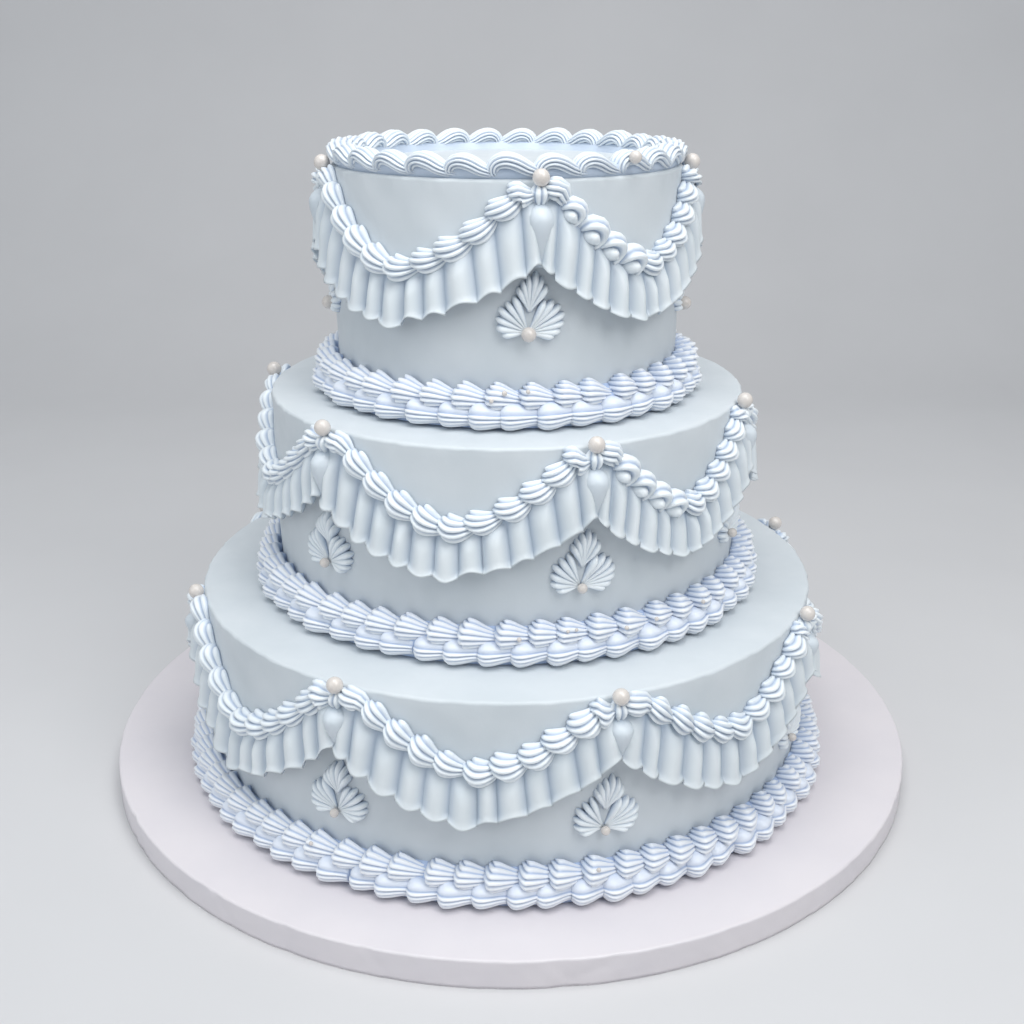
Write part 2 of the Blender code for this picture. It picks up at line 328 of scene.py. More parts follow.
# An ornament's petals spread from its heart and its plume from the crown over it. A petal has the
# angle of each ridge from upright in degrees and its reach, how far out its ridges' roots are, and
# half a ridge's width and its depth.
Petal = namedtuple("Petal", "ridges root half depth")
LEFT_PETAL = Petal(
    ((-94, 0.0112), (-79, 0.0140), (-64, 0.0155), (-49, 0.0170), (-35, 0.0170), (-21, 0.0175)),
    0.001, 0.0018, 0.0042,
)
RIGHT_PETAL = Petal(
    (
        (99, 0.0116),
        (87, 0.0144),
        (75, 0.0166),
        (63, 0.0182),
        (50, 0.0186),
        (38, 0.0180),
        (27, 0.0160),
    ),
    0.001, 0.0018, 0.0042,
)
PLUME = Petal(
    ((-25, 0.0122), (-13, 0.0140), (-2, 0.0160), (9, 0.0178), (20, 0.0162), (33, 0.0138)),
    0.0, 0.0017, 0.0048,
)
HEART = (-0.0045, -0.0645)  # from the rim at a peak
CROWN = (0.0006, 0.0092)  # from the heart
HEART_DEPTH = 0.0020
HEART_PEARLS = {"bottom": 0.0021, "middle": 0.0023, "top": 0.0033}
PAD_REACH = 0.8  # of the low pad under a petal, over its longest ridge
PAD_SIZE = (0.0046, 0.0020)
FINGER_POINTS = 12
FINGER_BEND = 0.0006
FINGER_SIZES = (0.9, 1.1)
FINGER_HEAD = 0.24
FINGER_TAIL = 0.30
# Painted shade that a petal's ridge keeps from its shell.
FINGER_SHADE = 0.3

# The icings: colour, mottling and the colour of the painted shade in creases and hollows, then roughness
# and the grain's height.
Icing = namedtuple("Icing", "light mottle crease roughness grain")
SMOOTH = Icing((0.64, 0.685, 0.715), (0.59, 0.64, 0.672), (0.50, 0.56, 0.64), 0.50, 0.00003)
PIPED = Icing((0.85, 0.90, 0.925), (0.82, 0.87, 0.90), (0.42, 0.52, 0.68), 0.34, 0.00002)
BORDER = Icing((0.91, 0.935, 0.965), (0.88, 0.91, 0.95), (0.46, 0.57, 0.78), 0.38, 0.00002)
FRILL = Icing((0.75, 0.80, 0.825), (0.69, 0.75, 0.78), (0.44, 0.52, 0.62), 0.42, 0.00002)
MOTTLE_SCALE = 38.0  # scales of noise are in cycles a metre
STREAK_SCALE = 160.0
GRAIN_SCALE = 900.0
STREAK_GLOSS = (-0.06, 0.08)  # what streaks take from the roughness and add to it
STREAK_HEIGHT = 2.0  # over the grain's
ICING_DEPTH = (0.12, 0.0015)  # the weight and scale of light that scatters under the surface

PEARL_COLOURS = ((0.72, 0.67, 0.62), (0.64, 0.60, 0.57))
PEARL_CLOUDS = 420.0
PEARL_ROUGHNESS = (0.22, 0.32)
PEARL_COAT = (0.5, 0.15)
PEARL_GRAIN = (1500.0, 0.00002)
FOIL_COLOURS = ((0.725, 0.69, 0.715), (0.69, 0.66, 0.69))
FOIL_CLOUDS = 25.0
FOIL_ROUGHNESS = (0.34, 0.46)
FOIL_GRAIN = (700.0, 0.00003)
FOIL_DENTS = (90.0, 0.0001)
FLOOR_COLOURS = ((0.62, 0.62, 0.63), (0.60, 0.60, 0.61))
FLOOR_CLOUDS = 6.0
FLOOR_ROUGHNESS = 0.9
NOISE_RANGE = (0.3, 0.7)  # where nearly all of a noise texture's values lie
NOISE_DETAIL = 3.0

# A shape's painted shade runs from 0 on a crest to 1 in the deepest shade.
Shape = namedtuple("Shape", "points faces groove")
Tier = namedtuple("Tier", "name centre radius base height plan")


def read_tier(name):
    """A tier's place and size, from its node."""
    low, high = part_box("tier_" + name)
    centre = (low + high) / 2
    return Tier(name, centre, (high.x - low.x) / 2, low.z, high.z - low.z, PLANS[name])


TIERS = [read_tier(name) for name in PLANS]


def jitter(amount):
    """A random value up to an amount either way."""
    return rng.uniform(-amount, amount)


def wrap(tier, points):
    """Takes points from the tier's unrolled wall to their places round it."""
    along, height, depth = np.asarray(points).T
    azimuth = along / tier.radius
    out = tier.radius + depth
    x = tier.centre.x + out * np.sin(azimuth)
    y = tier.centre.y - out * np.cos(azimuth)
    return np.stack((x, y, tier.base + height), axis=1)


def on_wall(tier, along, height, depth):
    """One point of the tier's unrolled wall, at its place."""
    return wrap(tier, [(along, height, depth)])[0]


def tube_faces(rows, columns):
    """Quads of a grid whose last column meets the first."""
    row, column = np.meshgrid(np.arange(rows - 1), np.arange(columns), indexing="ij")
    here = row * columns + column
    beside = row * columns + (column + 1) % columns
    return np.stack((here, here + columns, beside + columns, beside), axis=-1).reshape(-1, 4)


def capped(rows, columns):
    """Faces of a closed tube with an end cap on each side."""
    faces = tube_faces(rows, columns).tolist()
    last = (rows - 1) * columns
    faces.append(list(range(columns)))
    faces.append([last + column for column in reversed(range(columns))])
    return faces


def merged(shapes):
    """Several shapes as one."""
    points, faces, groove, count = [], [], [], 0
    for shape in shapes:
        points.append(shape.points)
        groove.append(shape.groove)
        faces.extend([[index + count for index in face] for face in shape.faces])
        count += len(shape.points)
    return Shape(np.concatenate(points), faces, np.concatenate(groove))


def wrapped(tier, shapes):
    """Several shapes on the tier's unrolled wall as one shape round it."""
    shape = merged(shapes)
    return Shape(wrap(tier, shape.points), shape.faces, shape.groove)


def make_piece(name, shape, material, nodes):
    """Makes a piece of a shape that is already in its place, and lets it ride on the cake."""
    mesh = bpy.data.meshes.new(name)
    mesh.from_pydata(shape.points.tolist(), [], shape.faces)
    # The painted shade goes to the mesh, for its material to darken it by.
    attribute = mesh.attributes.new("groove", "FLOAT", "POINT")
    attribute.data.foreach_set("value", np.clip(shape.groove, 0.0, 1.0).astype(np.float32))
    mesh.shade_smooth()
    mesh.materials.append(material)
    piece = bpy.data.objects.new(name, mesh)
    bpy.context.scene.collection.objects.link(piece)
    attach(piece, "root")
    if nodes:
        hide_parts(*nodes)


def smooth_step(x):
    """0 up to 0 and 1 from 1 on, with a smooth rise between them."""
    x = np.clip(x, 0.0, 1.0)
    return x * x * (3.0 - 2.0 * x)


def walk(line, distances):
    """Points and unit directions at these distances along a line of 2-D points."""
    steps = np.diff(line, axis=0)
    length = np.concatenate(([0.0], np.cumsum(np.hypot(steps[:, 0], steps[:, 1]))))
    points = np.stack([np.interp(distances, length, line[:, axis]) for axis in (0, 1)], axis=-1)
    angle = np.unwrap(np.arctan2(steps[:, 1], steps[:, 0]))
    middles = (length[:-1] + length[1:]) / 2
    heading = np.interp(distances, middles, angle)
    return points, np.stack((np.cos(heading), np.sin(heading)), axis=-1)


def line_length(line):
    """The length of a line of 2-D points."""
    steps = np.diff(line, axis=0)
    return float(np.hypot(steps[:, 0], steps[:, 1]).sum())


def turned(centre, base, profile, sides, relief):
    """A solid of revolution with relief, from a profile that runs from the top downwards."""
    radius, height = np.array(profile).T
    turn = np.linspace(0.0, math.tau, sides, endpoint=False)
    out = radius[:, None] + relief(turn[None, :], height[:, None], radius[:, None])
    x = centre.x + out * np.sin(turn)[None, :]
    y = centre.y - out * np.cos(turn)[None, :]
    z = np.broadcast_to(base + height[:, None], x.shape)
    points = np.stack((x, y, z), axis=-1).reshape(-1, 3)
    return Shape(points, capped(len(profile), sides), np.zeros(points.shape[0]))


def bed(tier, outline, shade_level):
    """The plain icing that piping covers, with its outline measured from the tier's wall, and painted
    shade all over it.
    """
    profile = [(tier.radius + out, height) for out, height in outline]
    shape = turned(tier.centre, tier.base, profile, WALL_SIDES, lambda turn, height, radius: 0.0 * turn)
    return Shape(shape.points, shape.faces, np.full(len(shape.points), shade_level))


def rounded_profile(radius, height, fillet, wall_rows):
    """Rings out over the top, round its edge, down the wall and in under it."""
    rings = [(radius * share, height) for share in TOP_RINGS]
    inner, lower = radius - fillet, height - fillet
    for angle in np.linspace(0.0, math.pi / 2, FILLET_RINGS):
        rings.append((inner + fillet * math.sin(angle), lower + fillet * math.cos(angle)))
    rings += [(radius, level) for level in np.linspace(lower, 0.0, wall_rows + 1)[1:]]
    rings += [(radius * share, 0.0) for share in UNDER_RINGS]
    return rings


def make_wall(tier, material):
    """The smooth icing of one tier, spread by hand and so a little uneven."""
    phase = rng.uniform(0.0, math.tau, len(WALL_WAVES))
    rim_phase = rng.uniform(0.0, math.tau, len(RIM_RIPPLES))

    def uneven(turn, height, radius):
        waves = sum(
            np.sin(turn * count + height * WALL_LEAN * (1 + k % 3) + phase[k])
            for k, count in enumerate(WALL_WAVES)
        )
        ripples = sum(
            np.sin(turn * count + height * RIM_LEAN * (k - 1) + rim_phase[k])
            for k, count in enumerate(RIM_RIPPLES)
        )
        near_rim = np.clip(1.0 - np.abs(height - tier.height + WALL_ROUND) / RIM_REACH, 0.0, 1.0)
        on_edge = near_rim * np.clip((radius - tier.radius) / WALL_ROUND + RIM_WIDTH, 0.0, 1.0)
        outward = np.clip((radius / tier.radius - WAVES_FROM) / (1.0 - WAVES_FROM), 0.0, 1.0)
        return WALL_WAVE * waves * outward + RIM_RIPPLE * ripples * on_edge

    profile = rounded_profile(tier.radius - WALL_INSET, tier.height, WALL_ROUND, WALL_ROWS)
    shape = turned(tier.centre, tier.base, profile, WALL_SIDES, uneven)
    name = "tier_" + tier.name
    make_piece(name + "_icing", shape, material, [name])


def make_board(material):
    """The board, wrapped in embossed foil that wrinkles and folds a little round its side."""
    low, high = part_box("board")
    radius = (high.x - low.x) / 2
    phase = rng.uniform(0.0, math.tau, len(WRINKLES))
    fold_phase = rng.uniform(0.0, math.tau, len(FOLDS))

    def wrinkles(turn, height, ring):
        waves = sum(
            np.sin(turn * count + height * WRINKLE_LEAN * (k - 2) + phase[k])
            for k, count in enumerate(WRINKLES)
        )
        swings = [
            np.sin(turn * count + height * FOLD_LEAN * (k - 1) + fold_phase[k])
            for k, count in enumerate(FOLDS)
        ]
        folds = sum(np.clip(swing, 0.0, 1.0) ** FOLD_POWER for swing in swings)
        on_side = np.clip((ring - radius + FOIL_EDGE) / FOIL_EDGE, 0.0, 1.0)
        return (WRINKLE * waves - FOLD * folds) * on_side - FOIL_INSET

    profile = rounded_profile(radius, high.z - low.z, BOARD_ROUND, BOARD_ROWS)
    shape = turned((low + high) / 2, low.z, profile, BOARD_SIDES, wrinkles)
    make_piece("board_foil", shape, material, ["board"])


def section(form):
    """Places round a shell's section, and at each one 1 on a crest down to 0 in a sharp crease."""
    if form.ridges == 0:
        around = np.linspace(0.0, 1.0, SMOOTH_COLUMNS)
        return around, np.ones_like(around)
    around = np.linspace(0.0, form.ridged, form.ridges * RIDGE_COLUMNS + 1)
    crest = np.abs(np.sin(math.pi * form.ridges * around / form.ridged))
    if form.ridged < 1.0:
        dome = np.linspace(form.ridged, 1.0, SMOOTH_COLUMNS)[1:]
        rise = np.clip((dome - form.ridged) / DOME_RISE, 0.0, 1.0)
        swell = np.sin(math.pi / 2 * rise) ** DOME_POWER
        around, crest = np.concatenate((around, dome)), np.concatenate((crest, swell))
    return around, crest


def shell(line, start, reach, form, size=1.0, tilt=0.0):
    """One piped shell along a line on the wall, from its full head to its thin tail."""
    nose = form.head * (1.0 - np.cos(np.linspace(FIRST_ROW, 1.0, HEAD_ROWS) * math.pi / 2))
    share = np.concatenate((nose, np.linspace(form.head, LAST_ROW, TAIL_ROWS)[1:]))[:, None]
    around, crest = section(form)
    angle = np.radians(form.low + (form.high - form.low) * around)
    blunt = 1.0 - np.sqrt(1.0 - NOSE_ROUND * np.sin(angle) ** 2)
    lag = form.nose * blunt + form.notch * (1.0 - crest)
    places = share + lag * (1.0 - share) ** LAG_POWER
    middle, direction = walk(line, start + places * reach)
    upward = np.stack((-direction[..., 1], direction[..., 0]), axis=-1)

    to_head = np.clip(1.0 - share / form.head, 0.0, 1.0)
    round_head = np.sqrt(1.0 - to_head**2)
    fall = 1.0 - (1.0 - form.tail) * smooth_step((share - form.head) / (1.0 - form.head))
    width = (form.open + (1.0 - form.open) * round_head) * fall
    body = round_head * fall
    shift = (form.lean - tilt) * (1.0 - 2.0 * share) - form.bow * np.sin(math.pi * share)
    shift = shift - form.settle * form.half * (1.0 - width)

    cut = 1.0 - form.cut * (1.0 - crest)
    offset = size * (np.sin(angle) * cut * form.half * width + shift)
    along = middle[..., 0] + upward[..., 0] * offset
    height = middle[..., 1] + upward[..., 1] * offset
    depth = size * (form.out + np.cos(angle) * cut * (form.depth - form.out)) * body - SHELL_SUNK
    points = np.stack((along, height, depth), axis=-1).reshape(-1, 3)

    # Painted shade: in the creases between ridges, at the foot, on a smooth dome and at both ends.
    foot = (1.0 - np.cos(angle)) ** 3
    ends = np.clip(HEAD_SHADED - share, 0.0, HEAD_SHADED) / HEAD_SHADED
    ends = ends + np.clip(share - (1.0 - TAIL_SHADED), 0.0, TAIL_SHADED)
    smooth = DOME_SHADE * (around > form.ridged)
    groove = (1.0 - crest) ** CREASE_POWER + FOOT_SHADE * foot + END_SHADE * ends + smooth
    return Shape(points, capped(len(share), len(around)), groove.reshape(-1))


def curled_shell(line, place, size):
    """A shell curled round a nub, at a place along the garland's line."""
    (middle,), (onward,) = walk(line, np.array([place]))
    upward = np.array((-onward[1], onward[0]))
    heart = middle - CURL_SUNK * upward
    turn = np.linspace(*CURL_TURN, CURL_POINTS)[:, None] * math.pi
    arc = heart + CURL_ARC * size * (np.cos(turn) * onward + np.sin(turn) * upward)
    nub_line = np.array([heart + reach * size * onward for reach in NUB_REACH])
    curl = shell(arc, 0.0, line_length(arc), CURL_FORM, size)
    nub = shell(nub_line, 0.0, line_length(nub_line), NUB_FORM, size)
    return [curl, nub]


def swag_spans(tier):
    """Each swag's two ends, as distances along the wall, and its low."""
    front, lows = tier.plan.front_peaks, tier.plan.swag_lows
    step = (front[0] + 360.0 - front[-1]) / (len(lows) - len(front) + 1)
    peaks = list(front) + [front[-1] + step * (i + 1) for i in range(len(lows) - len(front))]
    places = [math.radians(azimuth) * tier.radius for azimuth in peaks]
    return list(zip(places, places[1:] + [places[0] + math.tau * tier.radius], lows))


def swag_drop(low, t):
    """The garland's middle under the rim, where t runs from -1 at one peak to 1 at the next."""
    return np.maximum(PEAK_DROP, low - (low + SWAG_RISE) * np.abs(t) ** SWAG_POWER)


def hem_drop(plan, low, t):
    """The frill's hem under the rim, which comes to a point at the peaks."""
    hem_low = low + plan.hem_gap
    return hem_low - (hem_low - plan.hem_peak) * np.abs(t) ** HEM_POWER


def swag_line(tier, start, end, low):
    """The line of a garland's middle along one swag."""
    t = np.linspace(-1.0, 1.0, CURVE_SAMPLES)
    along = (start + end) / 2 + t * (end - start) / 2
    return np.stack((along, tier.height - swag_drop(low, t)), axis=1)


def make_garland(tier, material):
    """The garland of shells, with a short stub under each pearl."""
    shapes = []
    for swag, (start, end, low) in enumerate(swag_spans(tier)):
        line = swag_line(tier, start, end, low)
        length = line_length(line)
        pitch = length / GARLAND_SHELLS
        for number in range(GARLAND_SHELLS):
            begin = (number + jitter(GARLAND_JITTER)) * pitch
            reach = min(GARLAND_OVERLAP * pitch, length - begin)
            grown = min(1.0, (number + 0.5) / PEAK_SHELLS)
            size = rng.uniform(*GARLAND_SIZES) * (PEAK_SIZE + (1.0 - PEAK_SIZE) * grown)
            tilt = jitter(GARLAND_TILT)
            if swag == CURLED_SWAG[tier.name] and number in CURLED_SHELLS:
                shapes += curled_shell(line, begin + CURL_PLACE * pitch, size)
            else:
                rising = 2.0 * (number + 0.5) / GARLAND_SHELLS - 1.0
                bow = GARLAND_FORM.bow * np.clip(BOW_MIDDLE + BOW_CHANGE * rising, *BOW_RANGE)
                form = GARLAND_FORM._replace(bow=bow)
                shapes.append(shell(line, max(0.0, begin), reach, form, size, tilt))
        stub = np.array([(start, tier.height - drop) for drop in STUB_SPAN])
        shapes.append(shell(stub, 0.0, line_length(stub), STUB_FORM))
    name = "garland_" + tier.name
    make_piece(name + "_shells", wrapped(tier, shapes), material, [name])


def pleat_sheet(tier, start, end, low):
    """One swag's frill: rounded pleats with soft creases, whose hem steps and flares."""
    middle, half = (start + end) / 2, (end - start) / 2
    pleats = tier.plan.pleats
    edges = np.linspace(-1.0, 1.0, pleats + 1)
    edges[1:-1] += rng.uniform(-PLEAT_JITTER, PLEAT_JITTER, pleats - 1) * 2.0 / pleats
    share = np.linspace(0.0, 1.0, PLEAT_COLUMNS)[:, None]
    crest = np.sin(math.pi * share) ** PLEAT_POWER
    down = PLEAT_ROWS[None, :]
    shoulder = np.clip((down - SHOULDER[0]) / SHOULDER[1], 0.0, 1.0) ** 0.5
    flare = np.clip((down - FLARE_FROM) / (1.0 - FLARE_FROM), 0.0, 1.0) ** 2
    belly = BELLY[0] + BELLY[1] * down**BELLY_POWER
    fronts, painted_shades = [], []
    for left, right in zip(edges[:-1], edges[1:]):
        t = left + (right - left) * share
        centre = (left + right) / 2
        follow, lift = HEM_RISING if centre > 0.0 else HEM_FALLING
        level = tier.height - swag_drop(low, t) - FRILL_TOP
        hem_t = centre + (t - centre) * follow
        hem = tier.height - hem_drop(tier.plan, low, hem_t) + jitter(HEM_JITTER)
        hem = hem + crest * lift
        full = rng.uniform(*PLEAT_SIZES)
        height = level + (hem - level) * down
        depth = belly + crest * (PLEAT_DEPTH[0] - PLEAT_DEPTH[1] * down) * full * shoulder
        depth = depth + flare * (FLARE[0] + FLARE[1] * (1.0 - crest))
        lean = PLEAT_LEAN * (t - t**5) * down
        along = middle + t * half + lean
        fronts.append(np.stack((along, height, depth), axis=-1))
        # Painted shade in the creases, fading out over the flared hem, and at the top under the garland.
        in_crease = (1.0 - crest) ** PLEAT_CREASE_POWER
        painted_shades.append(in_crease * PLEAT_SHADE * (1.0 - flare) + SHOULDER_SHADE * (1.0 - shoulder))
    front = np.concatenate(fronts)
    groove = np.concatenate(painted_shades)
    back = front.copy()
    back[..., 2] = np.maximum(FRILL_GAP, back[..., 2] - FRILL_THICKNESS)
    points = np.concatenate((front, back[:, ::-1]), axis=1)
    # The frill's back, towards the wall, gets painted shade.
    groove = np.concatenate((groove, np.full_like(groove, FRILL_BACK_SHADE)), axis=1)
    rows, columns = points.shape[:2]
    faces = [face[::-1] for face in capped(rows, columns)]
    return Shape(points.reshape(-1, 3), faces, groove.reshape(-1))


def make_frill(tier, material):
    """The pleated frill, with a smooth teardrop over the joint under each pearl."""
    shapes = []
    for start, end, low in swag_spans(tier):
        shapes.append(pleat_sheet(tier, start, end, low))
        span = (TEAR_TOP, tier.plan.hem_peak + TEAR_OVER)
        tear = np.array([(start, tier.height - drop) for drop in span])
        drop = shell(tear, 0.0, line_length(tear), TEAR_FORM)
        # A teardrop gets painted shade all over.
        shapes.append(Shape(drop.points, drop.faces, drop.groove + TEAR_SHADE))
    name = "frill_" + tier.name
    make_piece(name + "_pleats", wrapped(tier, shapes), material, [name])


def border_row(tier, level, form, overlap, shift):
    """One row of a border's shells, whose first one starts at a distance along the wall."""
    round_wall = math.tau * tier.radius
    pitch = round_wall / tier.plan.border_shells
    line = np.array(((0.0, level), (round_wall + SPARE_PITCHES * pitch, level)))
    shapes = []
    for number in range(tier.plan.border_shells):
        begin = shift + (number + jitter(BORDER_JITTER)) * pitch
        size = rng.uniform(*BORDER_SIZES)
        tilt = jitter(BORDER_TILT) * (1.0 - form.settle)
        shapes.append(shell(line, begin, overlap * pitch, form, size, tilt))
    return wrapped(tier, shapes)


def make_border(tier, material, pearl_material):
    """The two rows of shells round a tier's base, half a pitch apart, and the icing under them."""
    pitch = math.tau * tier.radius / tier.plan.border_shells
    node = "border_" + tier.name
    shift = rng.uniform(0.0, pitch)
    for number, (row, level, form, overlap) in enumerate(BORDER_ROWS):
        placed = border_row(tier, level, form, overlap, shift + number * pitch / 2)
        make_piece(f"{node}_{row}", placed, material, [node])
        if row == "upper":
            strays = [rested_ball(placed, tier, *place) for place in STRAY_PEARLS[tier.name]]
            make_piece(f"{node}_loose_pearls", merged(strays), pearl_material, ())
    # The bed carries painted shade.
    under = bed(tier, BORDER_BED, BORDER_BED_SHADE)
    make_piece(f"{node}_bed", under, material, [node])


def finger(root, bend, tip, half, depth):
    """One ridge of a petal: thin at the root, round and full at its tip."""
    t = np.linspace(0.0, 1.0, FINGER_POINTS)[:, None]
    line = (1 - t) ** 2 * np.array(tip) + 2 * t * (1 - t) * np.array(bend) + t**2 * np.array(root)
    form = ShellForm(half, depth, 0, 0.0, FINGER_HEAD, FINGER_TAIL)
    made = shell(line, 0.0, line_length(line), form)
    # Painted shade on its flanks, where it turns in to the wall, and a share of the shell's own.
    side = np.abs(np.linspace(-1.0, 1.0, SMOOTH_COLUMNS)) ** 2
    groove = np.tile(side, len(made.points) // SMOOTH_COLUMNS)
    return Shape(made.points, made.faces, np.maximum(groove, FINGER_SHADE * made.groove))


def fan(heart, petal):
    """A petal's ridges, spread from a heart over a low pad."""
    heart = np.array(heart)
    middle_angle = math.radians(sum(angle for angle, _ in petal.ridges) / len(petal.ridges))
    reach = PAD_REACH * max(length for _, length in petal.ridges)
    tip = heart + reach * np.array((math.sin(middle_angle), math.cos(middle_angle)))
    shapes = [finger(heart, (heart + tip) / 2, tip, *PAD_SIZE)]
    for angle, length in petal.ridges:
        turn = math.radians(angle)
        towards = np.array((math.sin(turn), math.cos(turn)))
        aside = np.array((towards[1], -towards[0])) * jitter(FINGER_BEND)
        root = heart + towards * petal.root
        tip = heart + towards * length
        bend = (root + tip) / 2 + aside
        half = petal.half * rng.uniform(*FINGER_SIZES)
        shapes.append(finger(root, bend, tip, half, petal.depth))
    return shapes


def make_ornaments(tier, material, pearl_material):
    """Under each peak two side petals and an upright plume, which meet at a small pearl."""
    shapes, pearls = [], []
    radius = HEART_PEARLS[tier.name]
    for start, _, _ in swag_spans(tier):
        heart = (start + HEART[0], tier.height + HEART[1])
        crown = (heart[0] + CROWN[0], heart[1] + CROWN[1])
        shapes += fan(heart, LEFT_PETAL) + fan(heart, RIGHT_PETAL) + fan(crown, PLUME)
        pearls.append(ball(on_wall(tier, *heart, HEART_DEPTH + radius / 2), radius))
    nodes = [f"ornament_{tier.name}_{n + 1}" for n in range(len(tier.plan.swag_lows))]
    make_piece(f"ornaments_{tier.name}", wrapped(tier, shapes), material, nodes)
    pearl_name = f"ornament_pearls_{tier.name}"
    make_piece(pearl_name, merged(pearls), pearl_material, ())


def ball(middle, radius, mesh=SMALL_MESH):
    """A ball as a closed tube of rings, with a small cap at each pole."""
    segments, rings = mesh
    polar = np.linspace(POLE_GAP, math.pi - POLE_GAP, rings)
    turn = np.linspace(0.0, math.tau, segments, endpoint=False)
    x = np.sin(polar)[:, None] * np.cos(turn)[None, :]
    y = np.sin(polar)[:, None] * np.sin(turn)[None, :]
    z = np.broadcast_to(np.cos(polar)[:, None], x.shape)
    points = np.array(middle) + radius * np.stack((x, y, z), axis=-1).reshape(-1, 3)
    return Shape(points, capped(rings, segments), np.zeros(rings * segments))


def rested_ball(shape, tier, azimuth, height, radius):
    """A ball that rests on a placed shape, near an azimuth in degrees and a height."""
    tree = BVHTree.FromPolygons(shape.points.tolist(), shape.faces)
    outside = Vector(on_wall(tier, math.radians(azimuth) * tier.radius, height, REST_FROM))
    place = tree.find_nearest(outside)[0]
    return ball(place + PEARL_OUT * radius * (outside - place).normalized(), radius)


def make_pearls(tier, material):
    """The large pearl on each peak."""
    height = tier.height + PEARL_LIFT
    places = [on_wall(tier, start, height, PEARL_RADIUS + PEARL_GAP) for start, _, _ in swag_spans(tier)]
    balls = [ball(place, PEARL_RADIUS, PEARL_MESH) for place in places]
    nodes = [f"pearl_{tier.name}_{n + 1}" for n in range(len(tier.plan.swag_lows))]
    make_piece(f"pearls_{tier.name}", merged(balls), material, nodes)


def scroll(begin, size):
    """One scroll of the rope: a ridged line that arches over and trails off into the next one."""
    key = np.array(SCROLL_LINE) / 1000.0
    knots = np.linspace(0.0, 1.0, len(key))
    share = np.linspace(0.0, 1.0, SCROLL_ROWS)
    x, z, radius = (np.interp(share, knots, key[:, axis]) for axis in (0, 1, 2))
    for _ in range(SCROLL_ROUNDS):
        for values in (x, z, radius):
            values[1:-1] = (values[:-2] + 2 * values[1:-1] + values[2:]) / 4
    to_head = np.clip(1.0 - share / SCROLL_HEAD, 0.0, 1.0)
    radius = radius * np.sqrt(1.0 - to_head**2 * HEAD_ROUND) * size
    direction = np.stack((np.gradient(x), np.gradient(z)), axis=1)
    direction /= np.linalg.norm(direction, axis=1)[:, None]
    columns = SCROLL_RIDGES * RIDGE_COLUMNS
    turn = np.linspace(0.0, math.tau, columns, endpoint=False)
    crest = np.abs(np.sin(turn * SCROLL_RIDGES / 2))
    cut = 1.0 - SCROLL_CUT * (1.0 - crest)
    up = (np.cos(turn) * cut)[None, :] * radius[:, None]
    side = -(np.sin(turn) * cut * SCROLL_WIDE)[None, :] * radius[:, None]
    along = begin + x[:, None] * size - direction[:, 1:] * up
    height = np.maximum(ROPE_GAP, z[:, None] * size + direction[:, :1] * up)
    points = np.stack((along, height, side), axis=-1).reshape(-1, 3)
    # Painted shade in its creases and low down, near the top that it sits on.
    groove = np.broadcast_to((1.0 - crest)[None, :] ** SCROLL_CREASE_POWER, (len(share), columns))
    shade = SCROLL_SHADE * np.clip(1.0 - z / SCROLL_SHADED, 0.0, 1.0)
    return Shape(points, capped(len(share), columns), (groove + shade[:, None]).reshape(-1))


def make_rope(material, pearl_material):
    """The rope of scrolls on the top, inside its rim, with the pearl that rests on it."""
    top = TIERS[-1]
    ring = Tier("rope", top.centre, ROPE_RADIUS, top.base + top.height, 0.0, top.plan)
    pitch = math.tau * ROPE_RADIUS / ROPE_SCROLLS
    shapes = []
    for number in range(ROPE_SCROLLS):
        begin = (number + jitter(ROPE_JITTER)) * pitch
        shapes.append(scroll(begin, rng.uniform(*ROPE_SIZES)))
    placed = wrapped(ring, shapes)
    make_piece("rope_scrolls", placed, material, ["rope_top"])
    pearl = rested_ball(placed, ring, *ROPE_PEARL)
    make_piece("rope_pearl", pearl, pearl_material, ())
    # The bed carries painted shade.
    under = bed(ring, ROPE_BED, ROPE_BED_SHADE)
    make_piece("rope_bed", under, material, ["rope_top"])


def start_material(name):
    """A new material with its nodes, its links and its shader."""
    material = bpy.data.materials.new(name)
    material.use_nodes = True
    nodes, links = material.node_tree.nodes, material.node_tree.links
    return material, nodes, links, nodes["Principled BSDF"]


def noise_node(nodes, links, scale):
    """A noise texture in the object's own coordinates, in cycles a metre."""
    place = nodes.new("ShaderNodeTexCoord")
    texture = nodes.new("ShaderNodeTexNoise")
    texture.inputs["Scale"].default_value = scale
    texture.inputs["Detail"].default_value = NOISE_DETAIL
    links.new(place.outputs["Object"], texture.inputs["Vector"])
    return texture


def spread(nodes, links, texture, low, high):
    """A noise texture's values, spread from a low to a high one."""
    range_node = nodes.new("ShaderNodeMapRange")
    range_node.inputs["From Min"].default_value = NOISE_RANGE[0]
    range_node.inputs["From Max"].default_value = NOISE_RANGE[1]
    range_node.inputs["To Min"].default_value = low
    range_node.inputs["To Max"].default_value = high
    links.new(texture.outputs["Fac"], range_node.inputs["Value"])
    return range_node.outputs["Result"]


def mixed(nodes, links, factor, first, second):
    """Two colours, or a colour socket and a colour, mixed by a factor."""
    mix = nodes.new("ShaderNodeMix")
    mix.data_type = "RGBA"
    links.new(factor, mix.inputs["Factor"])
    for socket, colour in (("A", first), ("B", second)):
        if isinstance(colour, tuple):
            mix.inputs[socket].default_value = (*colour, 1.0)
        else:
            links.new(colour, mix.inputs[socket])
    return mix.outputs["Result"]


def mottled(nodes, links, texture, colours):
    """A colour that a noise texture varies between two."""
    return mixed(nodes, links, spread(nodes, links, texture, 0.0, 1.0), *colours)


def bumped(nodes, links, shader, textures):
    """Chains bump nodes, one for each texture with its height in metres."""
    normal = None
    for texture, height in textures:
        bump = nodes.new("ShaderNodeBump")
        bump.inputs["Distance"].default_value = height
        links.new(texture.outputs["Fac"], bump.inputs["Height"])
        if normal:
            links.new(normal, bump.inputs["Normal"])
        normal = bump.outputs["Normal"]
    links.new(normal, shader.inputs["Normal"])


